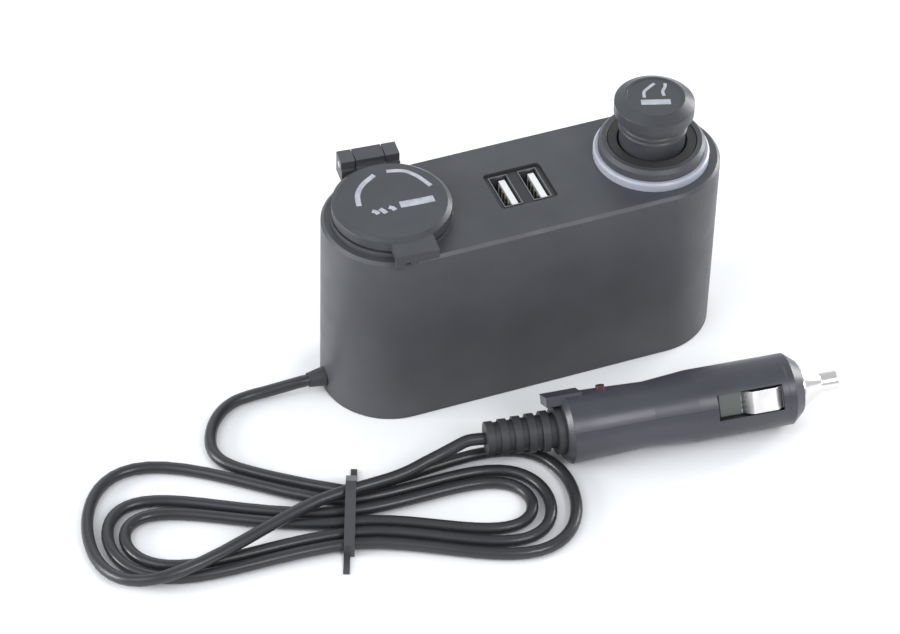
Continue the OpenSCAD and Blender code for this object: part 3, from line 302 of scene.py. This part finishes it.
class HalfLoop(NamedTuple):
    """Half a loop of the hank: it leaves the waist, turns round and comes back."""
    side: int  # 1 to the right of the waist, -1 to the left
    bow: int  # 1 when it leaves by the back, -1 when it leaves by the front
    reach_mm: float
    half_width_mm: float
    middle_mm: float
    roundness: float
    leaves_at: float
    returns_at: float


HALF_LOOPS = [
    HalfLoop(1, 1, 64.3, 17.4, 1.6, 1.7, row(0), row(5)),
    HalfLoop(-1, -1, 67.5, 13.5, 3.9, 1.9, row(5), row(2)),
    HalfLoop(1, 1, 51.8, 8.6, 0.4, 1.8, row(2), row(3)),
    HalfLoop(-1, 1, 62.8, 9.7, 2.7, 1.9, row(3), row(4)),
    HalfLoop(1, -1, 56.9, 12.4, -0.4, 1.8, row(4), row(1)),
    HalfLoop(-1, 1, 72.8, 23.1, 6.1, 1.4, row(1), OVER_SHIFT),
]


def ease(share):
    """A smooth step from 0 to 1."""
    held = max(0.0, min(1.0, share))
    return held * held * (3 - 2 * held)


def loop_point(loop, angle):
    """A point of a half loop in the hank's own directions; angle runs from 0 to pi."""
    sine, cosine = max(math.sin(angle), 0.0), math.cos(angle)
    widest = math.atan(math.sqrt(loop.roundness))
    peak = math.sin(widest) ** loop.roundness * math.cos(widest)
    waist = (loop.leaves_at + (loop.returns_at - loop.leaves_at) * (1 - cosine) / 2) * cosine ** 2
    bow = loop.bow * loop.half_width_mm * MM / peak * sine ** loop.roundness * cosine
    across = waist + loop.middle_mm * MM * sine ** 2 + bow
    over = loop.returns_at == OVER_SHIFT
    climb = STEP * ease((math.degrees(angle) - CLIMB_FROM) / CLIMB_SPAN) if over else 0
    height = LIE_Z + WAIST_LIFT * cosine ** WAIST_SHARPNESS + climb
    return Vector((loop.side * loop.reach_mm * MM * sine, across, height))


def hank_place(point):
    """From the hank's own directions to the object's."""
    return HANK_AT + Matrix.Rotation(HANK_TURN, 3, "Z") @ point


def hank_route(steps):
    """The whole hank, steps to a half loop."""
    points = []
    for loop in HALF_LOOPS:
        for i in range(1 if points else 0, steps + 1):
            turn = 2 * math.pi * i / steps
            points.append(hank_place(loop_point(loop, turn / 2 + CLOSER_IN_TURN * math.sin(turn))))
    return points


HANK = hank_route(HANK_STEPS)

# The lead from the housing's left end to the hank, point by point as the photo shows it
CORD_EXIT = Vector((-0.05975, 0, 0.0046))
BESIDE_FIRST_STRAND = 1.4 * MM
LEAD_JOINS = Vector((-CORD_D, row(0) + BESIDE_FIRST_STRAND, LIE_Z + WAIST_LIFT))
LEAD = [CORD_EXIT] + [Vector(p) for p in (
    (-0.06225, 0, 0.0046), (-0.06475, 0, 0.0046), (-0.068, 0.0003, 0.0043), (-0.072, 0.001, 0.0034),
    (-0.077, 0.0019, 0.0023), (-0.082, 0.0023, LIE_Z), (-0.087, 0.0015, LIE_Z), (-0.0915, -0.001, LIE_Z),
    (-0.0953, -0.005, LIE_Z), (-0.098, -0.010, LIE_Z), (-0.0991, -0.015, LIE_Z),
    (-0.0982, -0.0194, LIE_Z), (-0.0954, -0.0234, LIE_Z), (-0.0914, -0.0271, LIE_Z),
    (-0.0869, -0.0308, LIE_Z), (-0.0826, -0.034, LIE_Z), (-0.0784, -0.0371, LIE_Z),
)] + [hank_place(LEAD_JOINS)]

# The plug's axis from its rear face, and the strain relief that leans off it
PLUG_AT = Vector((-0.0063, -0.0492, 0.0104))
PLUG_TURN = math.radians(-5.9)
RELIEF_LEAN = math.radians(4.3)
RELIEF_TURN = PLUG_TURN - RELIEF_LEAN
RELIEF_L = 22 * MM
RELIEF_BACK = Vector((-math.cos(RELIEF_TURN), -math.sin(RELIEF_TURN), 0))
RELIEF_END = PLUG_AT + RELIEF_L * RELIEF_BACK
PLUG_LEAD_STRAIGHT = 5 * MM
PLUG_LEAD = [Vector(p) for p in (
    (-0.061, -0.0474, 0.0065), (-0.056, -0.0471, 0.0065), (-0.051, -0.0464, 0.0067),
    (-0.0462, -0.0454, 0.0072), (-0.0416, -0.0448, 0.008), (-0.0372, -0.0445, 0.0092),
)] + [RELIEF_END + PLUG_LEAD_STRAIGHT * RELIEF_BACK, RELIEF_END]
LEAD_STEPS = 4

lead_route = smooth_route(LEAD + [HANK[0]], LEAD_STEPS)
plug_lead_route = smooth_route([HANK[-1]] + PLUG_LEAD, LEAD_STEPS)
cord_route = lead_route[:-1] + HANK + plug_lead_route[1:]
cord = tube_curve("cord", cord_route, CORD_R, "cord_black")
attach(cord, "housing")
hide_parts("cord_lead", "cord_hank", "cord_plug_lead")


# Plug

# The strips under the plug's side slots carry painted shade where they dive, and are bright metal on
# their bow. Where one look gives way to the other is measured along the plug from its rear face
PLUG_WAY = Vector((math.cos(PLUG_TURN), math.sin(PLUG_TURN), 0))
STRIP_DARK_TO = 51.5 * MM
STRIP_BRIGHT_FROM = 52.8 * MM
STRIP_DARK = (0.13, 0.14, 0.13)
STRIP_DARK_ROUGH = 0.5
RAGGED_SCALE = 900
RAGGED_BY = 0.4 * MM


def painted_shade_copy(name, look, origin, way, start, end, dark, rough):
    """A copy of a look with painted shade, dull and dark, up to start along a way from origin, and itself
    past end.
    """
    material = LOOKS[look].copy()
    material.name = name
    nodes, links = material.node_tree.nodes, material.node_tree.links
    shader = nodes["Principled BSDF"]
    where = next(n for n in nodes if n.bl_idname == "ShaderNodeTexCoord").outputs["Object"]
    along = nodes.new("ShaderNodeVectorMath")
    along.operation = "DOT_PRODUCT"
    along.inputs[1].default_value = way
    links.new(where, along.inputs[0])
    edge = noise(nodes, links, where, RAGGED_SCALE, GRAIN_DETAIL)
    ragged = remap(nodes, links, edge, -RAGGED_BY, RAGGED_BY)
    add = nodes.new("ShaderNodeMath")
    links.new(along.outputs["Value"], add.inputs[0])
    links.new(ragged, add.inputs[1])
    here = origin.dot(way)
    bright = remap(nodes, links, add.outputs["Value"], 0, 1, here + start, here + end)
    for socket, kind, dull in (("Base Color", "RGBA", (*dark, 1)), ("Roughness", "FLOAT", rough)):
        source = shader.inputs[socket].links[0].from_socket
        links.new(mixed(nodes, links, kind, bright, dull, source), shader.inputs[socket])
    return material


# Painted shade on the diving part of both contact strips
strip_look = painted_shade_copy("strip_metal", "strip_bright", PLUG_AT, PLUG_WAY, STRIP_DARK_TO, STRIP_BRIGHT_FROM,
                     STRIP_DARK, STRIP_DARK_ROUGH)
for strip in ("plug_contact_front", "plug_contact_back"):
    NODES[strip].data.materials[0] = strip_look


# Lighter

def springy(node):
    """A copy of an upright spring's mesh, in place of a carried-over node."""
    mesh = NODES[node].data.copy()
    piece = bpy.data.objects.new(node + "_live", mesh)
    bpy.context.collection.objects.link(piece)
    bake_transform(piece)
    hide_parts(node)


springy("lighter_spring")


# Print

PRINT_T = 0.03 * MM
PRINT_LIFT = 0.01 * MM
PRINT_STEPS = 6
PRINT_LOOK = "print_pale"


def stroke(corners, faces, line, width, low, high):
    """Adds a flat bar of even width along a line of (x, y) points, between two heights."""
    sides = []
    for i, point in enumerate(line):
        way = (line[min(i + 1, len(line) - 1)] - line[max(i - 1, 0)]).normalized()
        across = Vector((-way.y, way.x)) * width / 2
        sides.append((point + across, point - across))
    first = len(corners)
    for left, right in sides:
        corners += [(side.x, side.y, low) for side in (left, right)]
        corners += [(side.x, side.y, high) for side in (right, left)]
    for i in range(len(sides) - 1):
        for k in range(4):
            here, beside = first + 4 * i + k, first + 4 * i + (k + 1) % 4
            faces.append((here, beside, beside + 4, here + 4))
    last = first + 4 * (len(sides) - 1)
    faces += [(first + 3, first + 2, first + 1, first), (last, last + 1, last + 2, last + 3)]


def printed_marks(name, strokes, at_x, turn, top, body):
    """Pale generic marks on a flat top face. Each stroke is its width and its points, in millimetres."""
    corners, faces = [], []
    for width, points in strokes:
        line = smooth_route([Vector(p) * MM for p in points], PRINT_STEPS)
        stroke(corners, faces, line, width * MM, top - PRINT_T, top + PRINT_LIFT)
    mesh = bpy.data.meshes.new(name)
    mesh.from_pydata(corners, [], faces)
    mesh.update()
    mesh.materials.append(LOOKS[PRINT_LOOK])
    mesh.transform(Matrix.Translation((at_x, 0, 0)) @ Matrix.Rotation(turn, 4, "Z"))
    piece = bpy.data.objects.new(name, mesh)
    bpy.context.collection.objects.link(piece)
    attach(piece, body)


# Two arcs, a bar and three short dashes
CAP_MARKS = [
    (1.5, [(-9.5, 0), (-8.7, 4.5), (-6.2, 8.4), (-1.9, 11.6)]),
    (1.3, [(1.9, 12.3), (6.6, 11.2), (9.8, 8.0), (12.3, 3.2)]),
    (2.6, [(1.7, -2.4), (6.7, -2.4), (11.7, -2.2)]),
    (1.4, [(-6.6, -3.0), (-5.6, -3.6), (-5.2, -4.6)]),
    (1.4, [(-4.2, -2.6), (-3.4, -3.8), (-3.0, -4.8)]),
    (1.4, [(-1.6, -2.6), (-0.6, -3.2), (-0.2, -4.2)]),
]
# A bar with two wisps above it
KNOB_MARKS = [
    (2.2, [(-4.7, -1.0), (-0.7, -2.3), (3.3, -3.6)]),
    (0.9, [(-3.0, 0.6), (-2.0, 3.0), (0.6, 4.6), (2.2, 5.4)]),
    (0.9, [(2.6, -0.6), (3.0, 1.4), (4.4, 3.0), (5.0, 4.4)]),
]
printed_marks("cap_print", CAP_MARKS, OUTLET_X, CAP_TURN, CAP_TOP, "cap")
printed_marks("knob_print", KNOB_MARKS, LIGHTER_X, 0, KNOB_TOP, "knob")


# Stage

FLOOR_SIZE = 6
FLOOR_DROP = 0.2 * MM
FLOOR_DARKER = (0.90, 0.90, 0.90, 1)
FLOOR_LIGHTER = (0.91, 0.91, 0.91, 1)
FLOOR_ROUGH = 0.9
FLOOR_SPECULAR = 0.1
PAPER_SCALE = 3
PAPER_DETAIL = 2
WHITE = (1, 1, 1)
COOL = (0.90, 0.95, 1.0)
SKY_COLOUR = (0.93, 0.96, 1.0, 1)
SKY_STRENGTH = 0.72
# The lamps all aim at this point of the object
LAMPS_AIM_AT = Vector((0, -0.02, 0.03))
# Each lamp: its name, place, power, width and colour
LAMPS = [
    ("key", (-0.75, -0.35, 0.9), 3, 0.6, COOL),
    ("back", (0.1, 1.0, 0.7), 1.6, 0.8, COOL),
    ("front", (0.26, -0.88, 0.84), 5.4, 0.45, (0.95, 0.95, 1.0)),
    ("left", (-1.1, 0.15, 0.3), 11, 0.5, WHITE),
    ("right", (1.1, 0.3, 0.3), 11, 0.5, WHITE),
]


def make_floor():
    """A plain white floor that keeps the object's shadow."""
    bpy.ops.mesh.primitive_plane_add(size=FLOOR_SIZE, location=(0, 0, -FLOOR_DROP))
    floor = bpy.context.object
    floor.name = "floor"
    material, nodes, links, shader = new_material("floor_white")
    where = nodes.new("ShaderNodeTexCoord").outputs["Object"]
    paper = remap(nodes, links, noise(nodes, links, where, PAPER_SCALE, PAPER_DETAIL), 0, 1)
    tint = mixed(nodes, links, "RGBA", paper, FLOOR_DARKER, FLOOR_LIGHTER)
    links.new(tint, shader.inputs["Base Color"])
    shader.inputs["Roughness"].default_value = FLOOR_ROUGH
    shader.inputs["Specular IOR Level"].default_value = FLOOR_SPECULAR
    floor.data.materials.append(material)


def make_world():
    """Even pale light from all round, and a white backdrop."""
    world = bpy.data.worlds.new("studio")
    bpy.context.scene.world = world
    world.use_nodes = True
    nodes, links = world.node_tree.nodes, world.node_tree.links
    light = nodes["Background"]
    light.inputs["Color"].default_value = SKY_COLOUR
    light.inputs["Strength"].default_value = SKY_STRENGTH
    seen = nodes.new("ShaderNodeBackground")
    seen.inputs["Color"].default_value = (*WHITE, 1)
    seen.inputs["Strength"].default_value = 1.0
    path = nodes.new("ShaderNodeLightPath")
    mix = nodes.new("ShaderNodeMixShader")
    links.new(path.outputs["Is Camera Ray"], mix.inputs["Fac"])
    links.new(light.outputs["Background"], mix.inputs[1])
    links.new(seen.outputs["Background"], mix.inputs[2])
    links.new(mix.outputs["Shader"], nodes["World Output"].inputs["Surface"])


def area_light(name, at, power, size, colour):
    """A soft square lamp aimed at the object."""
    data = bpy.data.lights.new(name, "AREA")
    data.energy = power
    data.size = size
    data.color = colour
    lamp = bpy.data.objects.new(name, data)
    lamp.location = at
    lamp.rotation_euler = (LAMPS_AIM_AT - Vector(at)).to_track_quat("-Z", "Y").to_euler()
    bpy.context.collection.objects.link(lamp)


make_floor()
make_world()
for lamp_facts in LAMPS:
    area_light(*lamp_facts)

bpy.context.scene.view_settings.view_transform = "Standard"
